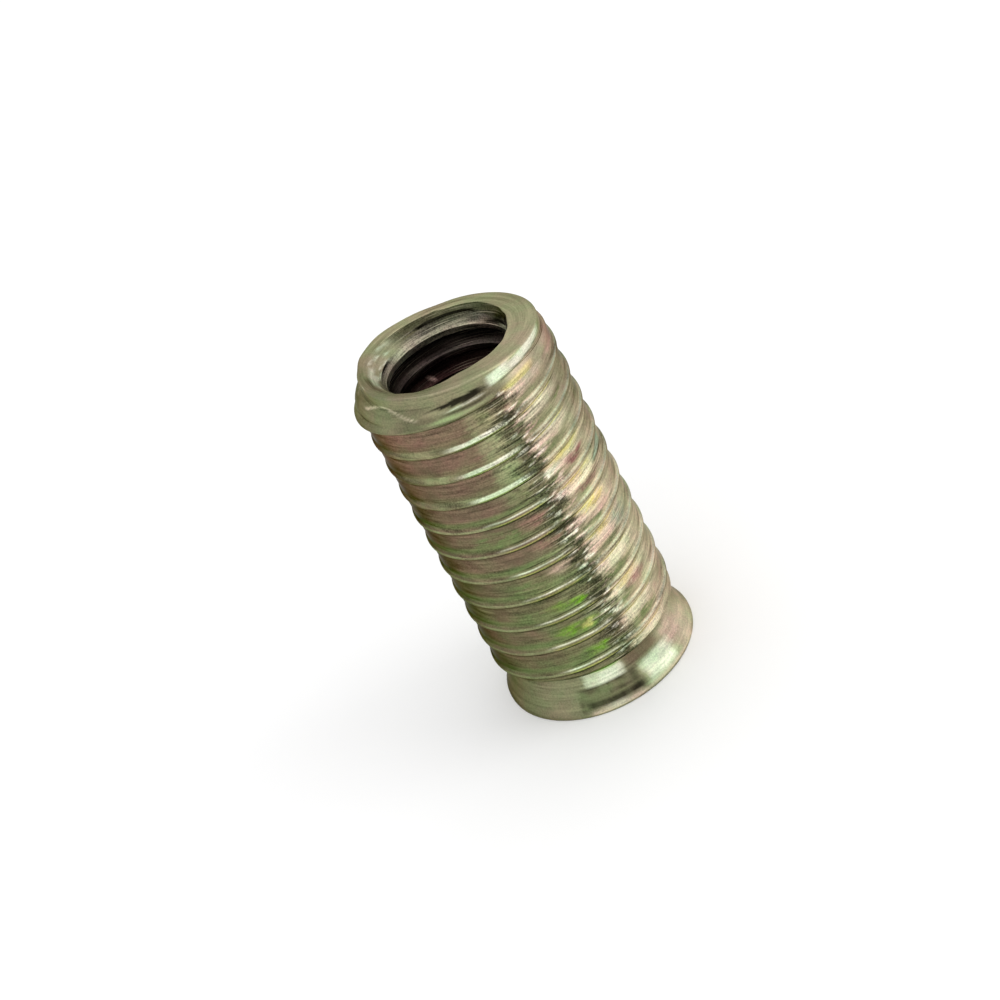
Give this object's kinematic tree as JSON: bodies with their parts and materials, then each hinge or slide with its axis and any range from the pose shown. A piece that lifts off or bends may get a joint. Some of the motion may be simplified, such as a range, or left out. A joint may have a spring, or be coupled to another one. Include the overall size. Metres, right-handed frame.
{
  "type": "threaded insert",
  "caption": "Plated steel threaded insert: a sleeve with a coarse thread of narrow rolled ridges outside, a tapped through bore and a flared flange at its foot.",
  "frame": {"origin": "centre of the flange's flat base, on the bore's axis", "axes": "+Z along the bore's axis, from the flange to the slanted end face; +Y away from the side that the picture shows"},
  "size_m": [0.0108, 0.0108, 0.0215],
  "materials": {
    "plated_steel": "yellow zinc chromate over turned steel, satin, iridescent"
  },
  "bodies": {
    "root": {"insert": "plated_steel"}
  },
  "joints": []
}
